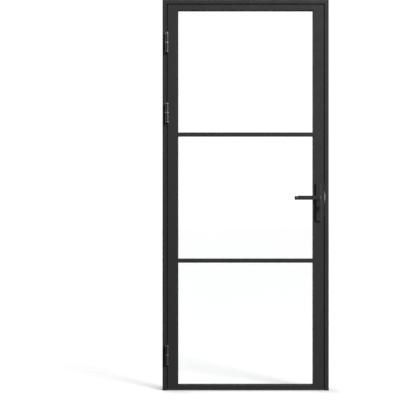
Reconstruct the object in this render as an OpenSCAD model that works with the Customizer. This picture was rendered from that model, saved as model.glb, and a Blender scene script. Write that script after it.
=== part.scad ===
// Framed glass door: a hollow steel frame without sill, and one leaf of slim steel tube with three
// panes, three pin hinges, a narrow-stile mortise lock and a pair of lever handles on long plates.
// X runs along the width, Y from the opening side to the stop side, Z up. The origin lies on the floor
// under the middle of the frame, in the mid-plane of the leaf.

/* [Frame] */
// Overall width of the frame
frame_w = 915; // [700:5:1300]
// Overall height of the frame above the floor
frame_h = 2150; // [1760:10:2600]
// Visible width of the frame's front face
frame_face = 23; // [18:1:40]
// Depth of the frame from front to back
frame_depth = 70; // [60:1:110]
// Wall of the frame tube
frame_wall = 2; // [1.5:0.1:3]
// How far the stop laps behind the leaf
stop_overlap = 12; // [9:1:20]
// Space between the leaf's back face and the stop, filled by the seal
stop_gap = 4; // [3:0.5:6]
// Distance of a wall fixing from the end of the hinge or strike plate beside it
fixing_room = 50; // [40:1:80]
// Radius of the hole for a wall screw
fixing_r = 4.25; // [3:0.25:6]
// Radius of the access hole in front of a wall screw
access_r = 7; // [6:0.5:9]

/* [Leaf] */
// Running gap between leaf and frame at the sides and the top
leaf_gap = 4.5; // [4.5:0.5:7]
// Gap between leaf and floor
floor_gap = 5.5; // [4:0.5:12]
// Thickness of the leaf
leaf_t = 40; // [36:1:60]
// Width of a stile from the lock's axes to its inner edge, with its glazing lip
stile_room = 28; // [28:1:60]
// Visible height of the top rail, with its glazing lip
top_rail_face = 30; // [24:1:80]
// Visible height of the bottom rail, with its glazing lip
bottom_rail_face = 24; // [20:1:120]
// Wall of the leaf tubes
leaf_wall = 2; // [1.5:0.1:2.5]
// Height of the glazing lip over the rebate
lip_w = 10; // [8:0.5:14]
// Visible height of a glazing bar
bar_face = 20; // [18:1:40]
// Thickness of the web of a glazing bar
bar_web = 5; // [3:0.5:6]

/* [Glazing] */
// Thickness of the glass
glass_t = 8; // [6:1:12]
// Thickness of the gasket on each face of the glass
gasket_t = 3; // [2:0.5:4]
// Thickness of the gasket around the edge of the glass
gasket_base = 1.5; // [1:0.25:2]
// How far the gasket stands out beyond the glazing lip
gasket_show = 1.5; // [0.5:0.25:3]
// Distance from the rebate to the edge of the glass
edge_gap = 4; // [3:0.25:5]
// Wall of a glazing bead
bead_wall = 1.5; // [1:0.1:2]
// Length of a setting block under the glass
block_len = 80; // [50:5:120]

/* [Hinges] */
// Height of the middle of the bottom hinge above the floor
low_hinge_z = 197; // [120:5:300]
// Drop from the frame's top to the middle of the second hinge
mid_hinge_drop = 624; // [420:1:900]
// Drop from the frame's top to the middle of the top hinge
top_hinge_drop = 238; // [120:1:300]
// Length of a hinge's barrel
barrel_len = 106; // [80:1:160]
// Radius of a hinge's barrel
barrel_r = 9.75; // [8:0.25:12]
// Radius of a hinge pin
pin_r = 5; // [4:0.25:6]
// Radius of the bearing ring between the two barrel halves
ring_r = 10; // [9:0.1:12.25]
// Thickness of the bearing ring
ring_t = 5; // [3:0.5:8]
// Thickness of the cap pressed on each end of a hinge pin
cap_t = 4; // [2:0.5:8]
// Space between the bearing ring and the leaf's front face
ring_clear = 0.5; // [0.3:0.1:2]
// Thickness of a hinge wing
wing_t = 2; // [1.5:0.1:2]
// Depth of a hinge wing from the front face
wing_d = 30; // [22:1:38]

/* [Lock] */
// Height of the lever's axis above the floor
lever_z = 1060; // [900:5:1150]
// Distance from the leaf's edge to the axes of lever and cylinder
backset = 30; // [30:1:60]
// Distance from the lever's axis down to the cylinder's axis
centres = 55; // [55:1:92]
// Thickness of the faceplate
faceplate_t = 3; // [2.5:0.25:4]
// Width of the faceplate
faceplate_w = 24; // [20:1:28]
// Length of the faceplate
faceplate_h = 235; // [220:1:260]
// Drop from the lever's axis to the middle of the faceplate
faceplate_drop = 25; // [20:1:30]
// Thickness of the lock case
case_t = 16; // [15:0.5:20]
// Wall of the lock case
case_wall = 1.5; // [1.2:0.1:2]
// Height of the lock case above the lever's axis
case_up = 48; // [40:1:52]
// Height of the lock case below the cylinder's axis
case_down = 30; // [28:1:34]
// Throw of the latch bolt beyond the leaf's edge
latch_throw = 10.5; // [9:0.5:12]
// Height of the latch bolt
latch_h = 24; // [20:1:26]
// Height of the dead bolt
dead_h = 22; // [18:1:23]
// Length of the dead bolt
dead_len = 30; // [26:1:30]
// Thickness of both bolts
bolt_t = 12; // [10:0.5:12]
// Thickness of the strike plate
strike_t = 2; // [1.5:0.1:2]
// Length of the strike plate
strike_h = 180; // [160:5:220]
// Height of the strike plate's front lip
strike_lip_h = 34; // [30:1:60]
// How far the cylinder stands out of the handle plates
cylinder_proud = 5; // [0:0.5:8]

/* [Handle] */
// Width of a handle plate
plate_w = 30; // [26:1:32]
// Height of a handle plate
plate_h = 205; // [190:1:240]
// Thickness of a handle plate
plate_t = 10; // [6:0.5:12]
// Length of a lever from its axis to its tip
lever_len = 120; // [100:1:150]
// Height of a lever's bar
lever_h = 21; // [16:1:26]
// Thickness of a lever's bar
lever_t = 12; // [8:0.5:14]
// Distance from the plate to the back of a lever's bar
lever_reach = 38; // [32:1:50]
// Radius of a lever's neck
neck_r = 9; // [8:0.5:10]
// Side of the square spindle
spindle_w = 8; // [7:0.5:9]

/* [Clearances] */
// Radial clearance of a running fit
run_fit = 0.05; // [0.02:0.01:0.1]
// Play around a part that is slid or dropped into place
slide_fit = 0.3; // [0.2:0.05:0.5]
// Radius of the thread of a hinge screw or a handle bolt
screw_r = 2.5; // [2:0.25:3]
// Radius of the thread of a faceplate or strike plate screw
small_screw_r = 2; // [1.5:0.25:2]

/* [Hidden] */

// A true circle, and how far a cutter runs past what it cuts
fine = 64;
over = 1;

// Planes of frame and leaf
front_y = -leaf_t / 2;
back_y = leaf_t / 2;
stop_y = back_y + stop_gap;
frame_back_y = front_y + frame_depth;
stop_face = frame_face + leaf_gap + stop_overlap;
leaf_w = frame_w - 2 * (frame_face + leaf_gap);
leaf_h = frame_h - frame_face - leaf_gap - floor_gap;
leaf_x = leaf_w / 2;
stile_face = backset + stile_room;
leaf_top = floor_gap + leaf_h;
rebate_x = leaf_x + leaf_gap;
fixing_y = front_y + (stop_y - front_y) / 2;

// Rebates that hold the glass, from bottom to top: each is [low z, high z, low lip, high lip]
lip_d = leaf_t / 2 - glass_t / 2 - gasket_t;
lip_y = front_y + lip_d;
bar_lip = (bar_face - bar_web) / 2;
rebate_w = leaf_w - 2 * (stile_face - lip_w);
glazing_low = floor_gap + bottom_rail_face - lip_w;
glazing_high = leaf_top - top_rail_face + lip_w;
pane_rebate_h = (glazing_high - glazing_low - 2 * bar_web) / 3;
lower_bar_z = glazing_low + pane_rebate_h + bar_web / 2;
upper_bar_z = glazing_high - pane_rebate_h - bar_web / 2;
lower_rebate = [glazing_low, lower_bar_z - bar_web / 2, lip_w, bar_lip];
middle_rebate = [lower_bar_z + bar_web / 2, upper_bar_z - bar_web / 2, bar_lip, bar_lip];
upper_rebate = [upper_bar_z + bar_web / 2, glazing_high, bar_lip, lip_w];
block_t = edge_gap - gasket_base;
bead_joint = 0.3;

// Seal strip: set back from the rebate, short of the stop's edge, and narrower where it meets the leaf
seal_set = 2;
seal_lip = 1;
seal_taper = 1.5;

// Hinges: the axis lies in the middle of the running gap, in front of the leaf
axis_x = -leaf_x - leaf_gap / 2;
axis_y = front_y - ring_clear - ring_r;
hinge_zs = [low_hinge_z, frame_h - mid_hinge_drop, frame_h - top_hinge_drop];
hinge_screw_reach = 38;
hinge_screw_zs = [-hinge_screw_reach, 0, hinge_screw_reach];
hinge_screw_in = 18;
hinge_screw_y = front_y + hinge_screw_in;
hinge_screw_len = 10;
head_flare = 2;
barrel_chamfer = 1;
cap_play = 0.3;
wing_end = 2;

// Lock: heights and depths measured from the leaf's edge
lock_x = leaf_x - backset;
cylinder_z = lever_z - centres;
case_front_x = leaf_x - faceplate_t;
case_room = 14;
case_back_x = lock_x - case_room;
case_low = cylinder_z - case_down;
case_high = lever_z + case_up;
faceplate_z = lever_z - faceplate_drop;
faceplate_end = 8;
faceplate_screw_reach = faceplate_h / 2 - faceplate_end;
small_screw_len = 12;
lug_h = 16;
lug_d = 6;
bolt_space = 4;
dead_mid_z = lever_z - latch_h / 2 - bolt_space - dead_h / 2;
bolt_play = 0.5;
latch_len = 9;
latch_tip = leaf_x + latch_throw;
latch_tail_x = leaf_x - latch_len;
bolt_sink = 0.2;
dead_tip = leaf_x - bolt_sink;
riser_t = 4;
slope_rest = 2;
follower_r = 9;
follower_boss_r = 8;
arm_half = 2;
arm_len = 16.5;
arm_y0 = -1;
arm_y1 = 2;
lug_gap = 0.3;
lug_t = 1.8;
lug_clear = 2;
lug_past_arm = 0.5;
lug_z0 = lever_z + follower_r + lug_clear;
lug_z1 = lever_z + arm_len + lug_past_arm;
tail_y0 = 3;
tail_y1 = 6;
spring_r = 1.9;
spring_wire_r = 0.35;
spring_y = -3.7;
spring_turns = 11;
spring_steps = 12;
spring_sides = 6;
spring_rise = 14;
spring_z = lever_z + spring_rise;

// Euro profile cylinder
profile_r = 8.5;
profile_leg_w = 10;
profile_h = 33;
profile_half_len = leaf_t / 2 + plate_t + cylinder_proud;
plug_r = 6.5;
cam_half = 5;
cam_r = 15;
cam_ring_r = 8.3;
cam_nose_w = 8;
cam_rest_turn = 150;
cam_slot_play = 0.2;
keyway_w = 2.4;
keyway_h = 8.5;
keyway_depth = 22;
cylinder_screw_drop = 20.5;
cylinder_screw_len = backset + profile_leg_w;

// Strike plate
strike_x = rebate_x - strike_t;
strike_drop = 10;
strike_z = lever_z - strike_drop;
strike_set = 6;
strike_tongue = 15;
strike_d = 28;
strike_lip_rise = 5;
strike_lip_z = lever_z + strike_lip_rise;
strike_lip_t = 1.5;
strike_lip_w = 5.5;
strike_end = 10;
strike_screw_reach = strike_h / 2 - strike_end;
window_play = 1;
pocket_play = 2;

// Wall fixings: clear of the hinges on one side and of the strike plate on the other
low_fixing_z = hinge_zs[0] + barrel_len / 2 + fixing_room;
high_fixing_z = hinge_zs[2] + barrel_len / 2 + fixing_room;
low_between_z = (hinge_zs[0] + hinge_zs[1]) / 2;
high_between_z = (hinge_zs[1] + hinge_zs[2]) / 2;
hinge_fixing_zs = [low_fixing_z, low_between_z, high_between_z, high_fixing_z];
below_strike_z = strike_z - strike_h / 2 - fixing_room;
above_strike_z = strike_z + strike_h / 2 + fixing_room;
lock_fixing_zs = [low_fixing_z, below_strike_z, above_strike_z, high_fixing_z];

// Handle
plate_z = lever_z - centres / 2;
plate_front_y = front_y - plate_t;
bar_back_y = plate_front_y - lever_reach;
bar_front_y = bar_back_y - lever_t;
plate_bolt_reach = 60;
plate_bolt_zs = [lever_z + plate_bolt_reach, cylinder_z - plate_bolt_reach];
plate_chamfer = 1;
bolt_bite = 4;
bush_wall = 3;
bush_flange = 1;
bend_r = 10;
bar_past_neck = 1;
grub_out = 12;
grub_y = plate_front_y - grub_out;
socket_wall = 2;
spindle_play = 2;

// Colours
paint = "#3b3b3d";
steel = "#8d9096";
rubber = "#1c1c1e";
clear_glass = "#cfe3e6";
nylon = "#d9d6cc";

// Outline of a tube whose front or back part is wider, drawn t inside its outer faces
function ell(long, short, y_long, y_step, y_short, t) =
    let (s = sign(y_short - y_long))
    [
        [t, y_long + s * t], [long - t, y_long + s * t], [long - t, y_step - s * t],
        [short - t, y_step - s * t], [short - t, y_short - s * t], [t, y_short - s * t]
    ];

module ell_tube(long, short, y_long, y_step, y_short, wall) {
    difference() {
        polygon(ell(long, short, y_long, y_step, y_short, 0));
        polygon(ell(long, short, y_long, y_step, y_short, wall));
    }
}

// Box between two corners
module block(low, high) {
    translate(low)
        cube(high - low);
}

// Cylinder along Y, from y0 to y1
module y_rod(x, z, y0, y1, r) {
    translate([x, y0, z])
        rotate([-90, 0, 0])
            cylinder(r = r, h = y1 - y0, $fn = fine);
}

// Cylinder along X, from x0 to x1
module x_rod(y, z, x0, x1, r) {
    translate([x0, y, z])
        rotate([0, 90, 0])
            cylinder(r = r, h = x1 - x0, $fn = fine);
}

// Countersunk screw whose flat head lies at the origin and whose thread runs along +Z
module screw(r, len, flare) {
    cylinder(r1 = r + flare, r2 = r, h = flare, $fn = fine);
    cylinder(r = r, h = len, $fn = fine);
}

// Countersunk screw along X with its head at x, pointing to dir
module x_screw(x, y, z, dir, r, len, flare) {
    translate([x, y, z])
        rotate([0, 90 * dir, 0])
            screw(r, len, flare);
}

// What is cut off the high end of a bar that runs along Z, to mitre it inwards
module mitre_cut(reach, len) {
    rotate([90, 0, 0])
        linear_extrude(height = 2 * (frame_depth + leaf_t), center = true)
            polygon([[-over, len + over], [reach + over, len + over], [reach + over, len - reach - over]]);
}

// Left side of the frame's tube, mitred at the top, with its wall fixings at the given heights
module jamb_tube(fixing_zs) {
    difference() {
        linear_extrude(height = frame_h)
            ell_tube(stop_face, frame_face, frame_back_y, stop_y, front_y, frame_wall);
        mitre_cut(stop_face, frame_h);
        for (z = fixing_zs) {
            x_rod(fixing_y, z, -over, frame_wall + over, fixing_r);
            x_rod(fixing_y, z, frame_face - frame_wall - over, frame_face + over, access_r);
        }
    }
}

module hinge_jamb() {
    color(paint)
        difference() {
            translate([-frame_w / 2, 0, 0])
                jamb_tube(hinge_fixing_zs);
            for (hz = hinge_zs, dz = hinge_screw_zs)
                x_rod(hinge_screw_y, hz + dz, -rebate_x - frame_wall - over, -rebate_x + over, screw_r);
        }
}

module lock_jamb() {
    pocket_y = bolt_t / 2 + pocket_play;
    color(paint)
        difference() {
            mirror([1, 0, 0])
                translate([-frame_w / 2, 0, 0])
                    jamb_tube(lock_fixing_zs);
            block([rebate_x - over, -pocket_y, dead_mid_z - dead_h / 2 - pocket_play],
                [rebate_x + frame_wall + over, pocket_y, lever_z + latch_h / 2 + pocket_play]);
            for (s = [-1, 1])
                x_rod(0, strike_z + s * strike_screw_reach, rebate_x - over,
                    rebate_x + frame_wall + over, small_screw_r);
        }
}

module head_profile() {
    color(paint)
        translate([-frame_w / 2, 0, frame_h])
            rotate([0, 90, 0])
                difference() {
                    linear_extrude(height = frame_w)
                        ell_tube(stop_face, frame_face, frame_back_y, stop_y, front_y, frame_wall);
                    mitre_cut(stop_face, frame_w);
                    translate([0, 0, frame_w])
                        mirror([0, 0, 1])
                            mitre_cut(stop_face, frame_w);
                }
}

// Seal strip on the face of the stop
module seal_outline() {
    seal_x0 = frame_face + leaf_gap + seal_set;
    seal_x1 = stop_face - seal_lip;
    polygon([[seal_x0, stop_y], [seal_x1, stop_y],
        [seal_x1 - seal_taper, back_y + slide_fit], [seal_x0 + seal_taper, back_y + slide_fit]]);
}

module jamb_seal() {
    difference() {
        linear_extrude(height = frame_h)
            seal_outline();
        mitre_cut(stop_face, frame_h);
    }
}

module hinge_side_seal() {
    color(rubber)
        translate([-frame_w / 2, 0, 0])
            jamb_seal();
}

module lock_side_seal() {
    color(rubber)
        mirror([1, 0, 0])
            translate([-frame_w / 2, 0, 0])
                jamb_seal();
}

module head_seal() {
    color(rubber)
        translate([-frame_w / 2, 0, frame_h])
            rotate([0, 90, 0])
                difference() {
                    linear_extrude(height = frame_w)
                        seal_outline();
                    mitre_cut(stop_face, frame_w);
                    translate([0, 0, frame_w])
                        mirror([0, 0, 1])
                            mitre_cut(stop_face, frame_w);
                }
}

// Lower half of a hinge around its own axis: half a barrel, and a wing in the running gap
module hinge_half(bore_r) {
    half_len = barrel_len / 2;
    barrel_low = -half_len + cap_t + cap_play;
    wing_half = half_len - wing_end;
    wing_out = -leaf_gap / 2;
    plane_y = front_y - axis_y;
    difference() {
        union() {
            translate([0, 0, barrel_low])
                cylinder(r = barrel_r, h = -ring_t / 2 - barrel_low, $fn = fine);
            block([wing_out, barrel_r / 2, barrel_low], [wing_out + wing_t, plane_y, -ring_t / 2]);
            block([wing_out, plane_y, -wing_half], [wing_out + wing_t, plane_y + wing_d, wing_half]);
        }
        translate([0, 0, -half_len - over])
            cylinder(r = bore_r, h = barrel_len, $fn = fine);
        for (dz = hinge_screw_zs)
            x_screw(wing_out + wing_t, hinge_screw_y - axis_y, dz, -1, screw_r, hinge_screw_len, head_flare);
    }
}

module hinge_frame_wing(z) {
    color(paint)
        translate([axis_x, axis_y, z])
            hinge_half(pin_r);
}

module hinge_leaf_wing(z) {
    color(paint)
        translate([axis_x, axis_y, z])
            rotate([0, 180, 0])
                hinge_half(pin_r + run_fit);
}

// Pin with a chamfered cap on each end
module hinge_pin(z) {
    half_len = barrel_len / 2;
    cap_in = half_len - cap_t;
    cap_edge = half_len - barrel_chamfer;
    color(steel)
        translate([axis_x, axis_y, z])
            rotate_extrude($fn = fine)
                polygon([[0, -half_len], [barrel_r - barrel_chamfer, -half_len], [barrel_r, -cap_edge],
                    [barrel_r, -cap_in], [pin_r, -cap_in], [pin_r, cap_in], [barrel_r, cap_in],
                    [barrel_r, cap_edge], [barrel_r - barrel_chamfer, half_len], [0, half_len]]);
}

module hinge_ring(z) {
    color(steel)
        translate([axis_x, axis_y, z - ring_t / 2])
            difference() {
                cylinder(r = ring_r, h = ring_t, $fn = fine);
                translate([0, 0, -over])
                    cylinder(r = pin_r, h = ring_t + 2 * over, $fn = fine);
            }
}

module hinge_frame_screws() {
    color(steel)
        for (hz = hinge_zs, dz = hinge_screw_zs)
            x_screw(-rebate_x + wing_t, hinge_screw_y, hz + dz, -1, screw_r, hinge_screw_len, head_flare);
}

module hinge_leaf_screws() {
    color(steel)
        for (hz = hinge_zs, dz = hinge_screw_zs)
            x_screw(-leaf_x - wing_t, hinge_screw_y, hz + dz, 1, screw_r, hinge_screw_len, head_flare);
}

// Upper (s = 1) or lower (s = -1) screw of the strike plate
module strike_screw(s) {
    x_screw(strike_x, 0, strike_z + s * strike_screw_reach, 1, small_screw_r, small_screw_len, head_flare);
}

// The plate stays back in the gap; only the tongue that carries the lip reaches the front
module strike_plate() {
    y0 = front_y + strike_set;
    y1 = front_y + strike_d;
    tongue_h = strike_lip_h / 2 + strike_tongue;
    color(steel)
        difference() {
            union() {
                block([strike_x, y0, strike_z - strike_h / 2], [rebate_x, y1, strike_z + strike_h / 2]);
                block([strike_x, front_y, strike_lip_z - tongue_h], [rebate_x, y0, strike_lip_z + tongue_h]);
                block([strike_x, front_y - strike_lip_t, strike_lip_z - strike_lip_h / 2],
                    [strike_x + strike_lip_w, front_y, strike_lip_z + strike_lip_h / 2]);
            }
            block([strike_x - over, -bolt_t / 2 - window_play, lever_z - latch_h / 2 - bolt_play],
                [rebate_x + over, bolt_t / 2 + window_play, lever_z + latch_h / 2 + bolt_play]);
            block([strike_x - over, -bolt_t / 2 - window_play, dead_mid_z - dead_h / 2 - bolt_play],
                [rebate_x + over, bolt_t / 2 + window_play, dead_mid_z + dead_h / 2 + bolt_play]);
            for (s = [-1, 1])
                strike_screw(s);
        }
}

module strike_screws() {
    color(steel)
        for (s = [-1, 1])
            strike_screw(s);
}

// Leaf tube of a given face width, as a stile on the hinge side standing on the leaf's bottom edge
module leaf_tube(face, len) {
    linear_extrude(height = len)
        ell_tube(face, face - lip_w, front_y, lip_y, back_y, leaf_wall);
}

module hinge_stile() {
    color(paint)
        difference() {
            translate([-leaf_x, 0, floor_gap])
                leaf_tube(stile_face, leaf_h);
            for (hz = hinge_zs, dz = hinge_screw_zs)
                x_rod(hinge_screw_y, hz + dz, -leaf_x - over, -leaf_x + leaf_wall + over, screw_r);
        }
}

// Outline of the cylinder as it is seen from the front, grown by play, around the cylinder's axis
module euro_outline(play) {
    circle(r = profile_r + play, $fn = fine);
    translate([-profile_leg_w / 2 - play, profile_r - profile_h - play])
        square([profile_leg_w + 2 * play, profile_h - profile_r + play]);
}

// Prism of the cylinder's outline along Y, from y0 to y1
module euro_prism(y0, y1, play) {
    translate([lock_x, y1, cylinder_z])
        rotate([90, 0, 0])
            linear_extrude(height = y1 - y0)
                euro_outline(play);
}

module lock_stile() {
    lug_y = leaf_t / 2 - leaf_wall;
    color(paint)
        difference() {
            union() {
                difference() {
                    mirror([1, 0, 0])
                        translate([-leaf_x, 0, floor_gap])
                            leaf_tube(stile_face, leaf_h);
                    block([leaf_x - leaf_wall - over, -faceplate_w / 2, faceplate_z - faceplate_h / 2],
                        [leaf_x + over, faceplate_w / 2, faceplate_z + faceplate_h / 2]);
                    euro_prism(front_y - over, back_y + over, slide_fit);
                    y_rod(lock_x, lever_z, front_y - over, back_y + over, spindle_w);
                    for (z = plate_bolt_zs)
                        y_rod(lock_x, z, front_y - over, back_y + over, screw_r + slide_fit);
                }
                for (s = [-1, 1])
                    translate([case_front_x - lug_d, -lug_y, faceplate_z + s * faceplate_screw_reach])
                        translate([0, 0, -lug_h / 2])
                            cube([lug_d, 2 * lug_y, lug_h]);
            }
            for (s = [-1, 1])
                x_rod(0, faceplate_z + s * faceplate_screw_reach, case_front_x - lug_d - over,
                    leaf_x + over, small_screw_r);
        }
}

// Rail between the stiles, cut back where their lips pass
module rail_tube(face) {
    difference() {
        leaf_tube(face, rebate_w);
        for (z = [-over, rebate_w - lip_w])
            translate([-over, front_y - over, z])
                cube([face + 2 * over, lip_d + over, lip_w + over]);
    }
}

module top_rail() {
    color(paint)
        translate([-rebate_w / 2, 0, leaf_top])
            rotate([0, 90, 0])
                rail_tube(top_rail_face);
}

module bottom_rail() {
    color(paint)
        translate([rebate_w / 2, 0, floor_gap])
            rotate([0, -90, 0])
                rail_tube(bottom_rail_face);
}

// Glazing bar: a hollow front flange on a solid web
module glazing_bar(z) {
    flange_len = rebate_w - 2 * lip_w;
    color(paint)
        translate([0, 0, z])
            difference() {
                union() {
                    block([-flange_len / 2, front_y, -bar_face / 2], [flange_len / 2, lip_y, bar_face / 2]);
                    block([-rebate_w / 2, lip_y, -bar_web / 2], [rebate_w / 2, back_y, bar_web / 2]);
                }
                block([-rebate_w, front_y + leaf_wall, -bar_face / 2 + leaf_wall],
                    [rebate_w, lip_y - leaf_wall, bar_face / 2 - leaf_wall]);
            }
}

module lower_bar() {
    glazing_bar(lower_bar_z);
}

module upper_bar() {
    glazing_bar(upper_bar_z);
}

module pane(rebate) {
    color(clear_glass, 0.4)
        block([-rebate_w / 2 + edge_gap, -glass_t / 2, rebate[0] + edge_gap],
            [rebate_w / 2 - edge_gap, glass_t / 2, rebate[1] - edge_gap]);
}

// Channel of rubber around the edge of a pane
module gasket(rebate) {
    gasket_y = glass_t / 2 + gasket_t;
    side = rebate_w / 2 - lip_w - gasket_show;
    color(rubber)
        difference() {
            block([-rebate_w / 2 + block_t, -gasket_y, rebate[0] + block_t],
                [rebate_w / 2 - block_t, gasket_y, rebate[1] - block_t]);
            block([-side, -gasket_y - over, rebate[0] + rebate[2] + gasket_show],
                [side, gasket_y + over, rebate[1] - rebate[3] - gasket_show]);
            pane(rebate);
        }
}

// Box-section bead between two corners, open at its ends along X or along Z
module bead(low, high, along_x) {
    shell = along_x ? [0, bead_wall, bead_wall] : [bead_wall, bead_wall, 0];
    past = along_x ? [over, 0, 0] : [0, 0, over];
    difference() {
        block(low, high);
        block(low + shell - past, high - shell + past);
    }
}

// The four beads that clip in behind a pane
module beads(rebate) {
    y0 = glass_t / 2 + gasket_t;
    half = rebate_w / 2;
    cross = half - lip_w - bead_joint;
    color(paint) {
        bead([-half, y0, rebate[0]], [-half + lip_w, back_y, rebate[1]], false);
        bead([half - lip_w, y0, rebate[0]], [half, back_y, rebate[1]], false);
        bead([-cross, y0, rebate[0]], [cross, back_y, rebate[0] + rebate[2]], true);
        bead([-cross, y0, rebate[1] - rebate[3]], [cross, back_y, rebate[1]], true);
    }
}

module setting_blocks() {
    color(rubber)
        for (rebate = [lower_rebate, middle_rebate, upper_rebate], s = [-1, 1])
            translate([s * rebate_w / 4 - block_len / 2, -glass_t / 2, rebate[0]])
                cube([block_len, glass_t, block_t]);
}

module lock_case() {
    half_t = case_t / 2;
    inner = half_t - case_wall;
    color(steel)
        difference() {
            block([case_back_x, -half_t, case_low], [case_front_x, inner, case_high]);
            block([case_back_x + case_wall, -inner, case_low + case_wall],
                [case_front_x - case_wall, inner + over, case_high - case_wall]);
            euro_prism(-half_t - over, half_t + over, slide_fit);
            y_rod(lock_x, lever_z, -half_t - over, 0, follower_boss_r + run_fit);
            bolt_window(lever_z, latch_h);
            bolt_window(dead_mid_z, dead_h);
            block([case_front_x - case_wall - over, -bolt_t / 2 - bolt_play, lever_z],
                [case_front_x + over, inner + over, lug_z1 + bolt_play]);
            block([case_back_x - over, arm_y0 - bolt_play, lug_z0 - bolt_play],
                [case_back_x + case_wall + over, inner + over, lug_z1 + bolt_play]);
            block([case_back_x - over, -cam_half - bolt_play, cylinder_z - cam_r - bolt_play],
                [case_back_x + case_wall + over, cam_half + bolt_play, cylinder_z + cam_r + bolt_play]);
            x_rod(0, cylinder_z - cylinder_screw_drop, case_front_x - case_wall - over,
                case_front_x + over, screw_r + slide_fit);
        }
}

// Slot in the front wall of the case and in the faceplate for a bolt of height h
module bolt_window(z, h) {
    block([case_front_x - case_wall - over, -bolt_t / 2 - bolt_play, z - h / 2 - bolt_play],
        [leaf_x + over, bolt_t / 2 + bolt_play, z + h / 2 + bolt_play]);
}

module lock_cover() {
    half_t = case_t / 2;
    color(steel)
        difference() {
            block([case_back_x, half_t - case_wall, case_low], [case_front_x, half_t, case_high]);
            euro_prism(-half_t, half_t + over, slide_fit);
            y_rod(lock_x, lever_z, 0, half_t + over, follower_boss_r + run_fit);
        }
}

// Upper (s = 1) or lower (s = -1) screw of the faceplate
module faceplate_screw(s) {
    screw_z = faceplate_z + s * faceplate_screw_reach;
    x_screw(leaf_x, 0, screw_z, -1, small_screw_r, small_screw_len, head_flare);
}

module faceplate() {
    color(steel)
        difference() {
            block([case_front_x, -faceplate_w / 2, faceplate_z - faceplate_h / 2],
                [leaf_x, faceplate_w / 2, faceplate_z + faceplate_h / 2]);
            bolt_window(lever_z, latch_h);
            bolt_window(dead_mid_z, dead_h);
            for (s = [-1, 1])
                faceplate_screw(s);
            x_screw(leaf_x, 0, cylinder_z - cylinder_screw_drop, -1, screw_r, cylinder_screw_len, head_flare);
        }
}

module faceplate_screws() {
    color(steel)
        for (s = [-1, 1])
            faceplate_screw(s);
}

// Hub that the spindle turns, with the arm that draws the latch bolt back
module follower() {
    hub_half = case_t / 2 - case_wall - slide_fit;
    color(steel)
        difference() {
            union() {
                y_rod(lock_x, lever_z, -hub_half, hub_half, follower_r);
                y_rod(lock_x, lever_z, -case_t / 2, case_t / 2, follower_boss_r);
                block([lock_x - arm_half, arm_y0, lever_z], [lock_x + arm_half, arm_y1, lever_z + arm_len]);
            }
            square_rod(case_t / 2 + over, spindle_w / 2 + run_fit);
        }
}

// Square bar on the lever's axis, from -y_end to y_end
module square_rod(y_end, half) {
    block([lock_x - half, -y_end, lever_z - half], [lock_x + half, y_end, lever_z + half]);
}

module latch_bolt() {
    slope = bolt_t - slope_rest;
    lug_x = lock_x - arm_half - lug_gap;
    color(steel)
        union() {
            translate([0, 0, lever_z - latch_h / 2])
                linear_extrude(height = latch_h)
                    polygon([[latch_tail_x, -bolt_t / 2], [latch_tip, -bolt_t / 2],
                        [latch_tip, bolt_t / 2 - slope], [latch_tip - slope, bolt_t / 2],
                        [latch_tail_x, bolt_t / 2]]);
            block([latch_tail_x, -bolt_t / 2, lug_z0], [latch_tail_x + riser_t, bolt_t / 2, lug_z1]);
            block([lug_x - lug_t, tail_y0, lug_z0], [latch_tail_x + riser_t, tail_y1, lug_z1]);
            block([lug_x - lug_t, arm_y0, lug_z0], [lug_x, tail_y1, lug_z1]);
        }
}

// One corner of the spring's wire: turn i of the coil, corner j of the section
function spring_point(i, j) =
    let (
        x0 = case_back_x + case_wall + spring_wire_r,
        x1 = latch_tail_x - spring_wire_r,
        a = 360 * i / spring_steps,
        b = 360 * j / spring_sides,
        reach = spring_r + spring_wire_r * cos(b)
    )
    [
        x0 + (x1 - x0) * i / (spring_turns * spring_steps) + spring_wire_r * sin(b),
        spring_y + reach * cos(a),
        spring_z + reach * sin(a)
    ];

module latch_spring() {
    rings = spring_turns * spring_steps;
    points = [for (i = [0 : rings], j = [0 : spring_sides - 1]) spring_point(i, j)];
    walls = [
        for (i = [0 : rings - 1], j = [0 : spring_sides - 1], half = [0, 1])
            let (k = (j + 1) % spring_sides, a = i * spring_sides, b = a + spring_sides)
            half == 0 ? [a + j, a + k, b + k] : [a + j, b + k, b + j]
    ];
    first_cap = [for (j = [spring_sides - 1 : -1 : 0]) j];
    last_cap = [for (j = [0 : spring_sides - 1]) rings * spring_sides + j];
    color(steel)
        polyhedron(points = points, faces = concat(walls, [first_cap, last_cap]));
}

module dead_bolt() {
    color(steel)
        block([dead_tip - dead_len, -bolt_t / 2, dead_mid_z - dead_h / 2],
            [dead_tip, bolt_t / 2, dead_mid_z + dead_h / 2]);
}

module cylinder_body() {
    color(steel)
        difference() {
            euro_prism(-profile_half_len, profile_half_len, 0);
            y_rod(lock_x, cylinder_z, -profile_half_len - over, profile_half_len + over, plug_r + run_fit);
            block([lock_x - profile_r - over, -cam_half - cam_slot_play, cylinder_z - cam_r - window_play],
                [lock_x + profile_r + over, cam_half + cam_slot_play, cylinder_z + profile_r + over]);
            x_rod(0, cylinder_z - cylinder_screw_drop,
                lock_x - profile_leg_w, lock_x + profile_leg_w, screw_r);
        }
}

// Keyed plug from its face at y_face to its inner end
module plug(y_inner, y_face) {
    y0 = min(y_inner, y_face);
    y1 = max(y_inner, y_face);
    slot_end = y_face - sign(y_face) * keyway_depth;
    color(steel)
        difference() {
            y_rod(lock_x, cylinder_z, y0, y1, plug_r);
            block([lock_x - keyway_w / 2, min(slot_end, y_face + sign(y_face)), cylinder_z - keyway_h / 2],
                [lock_x + keyway_w / 2, max(slot_end, y_face + sign(y_face)), cylinder_z + keyway_h / 2]);
        }
}

module cylinder_front_plug() {
    plug(-cam_half, -profile_half_len);
}

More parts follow.
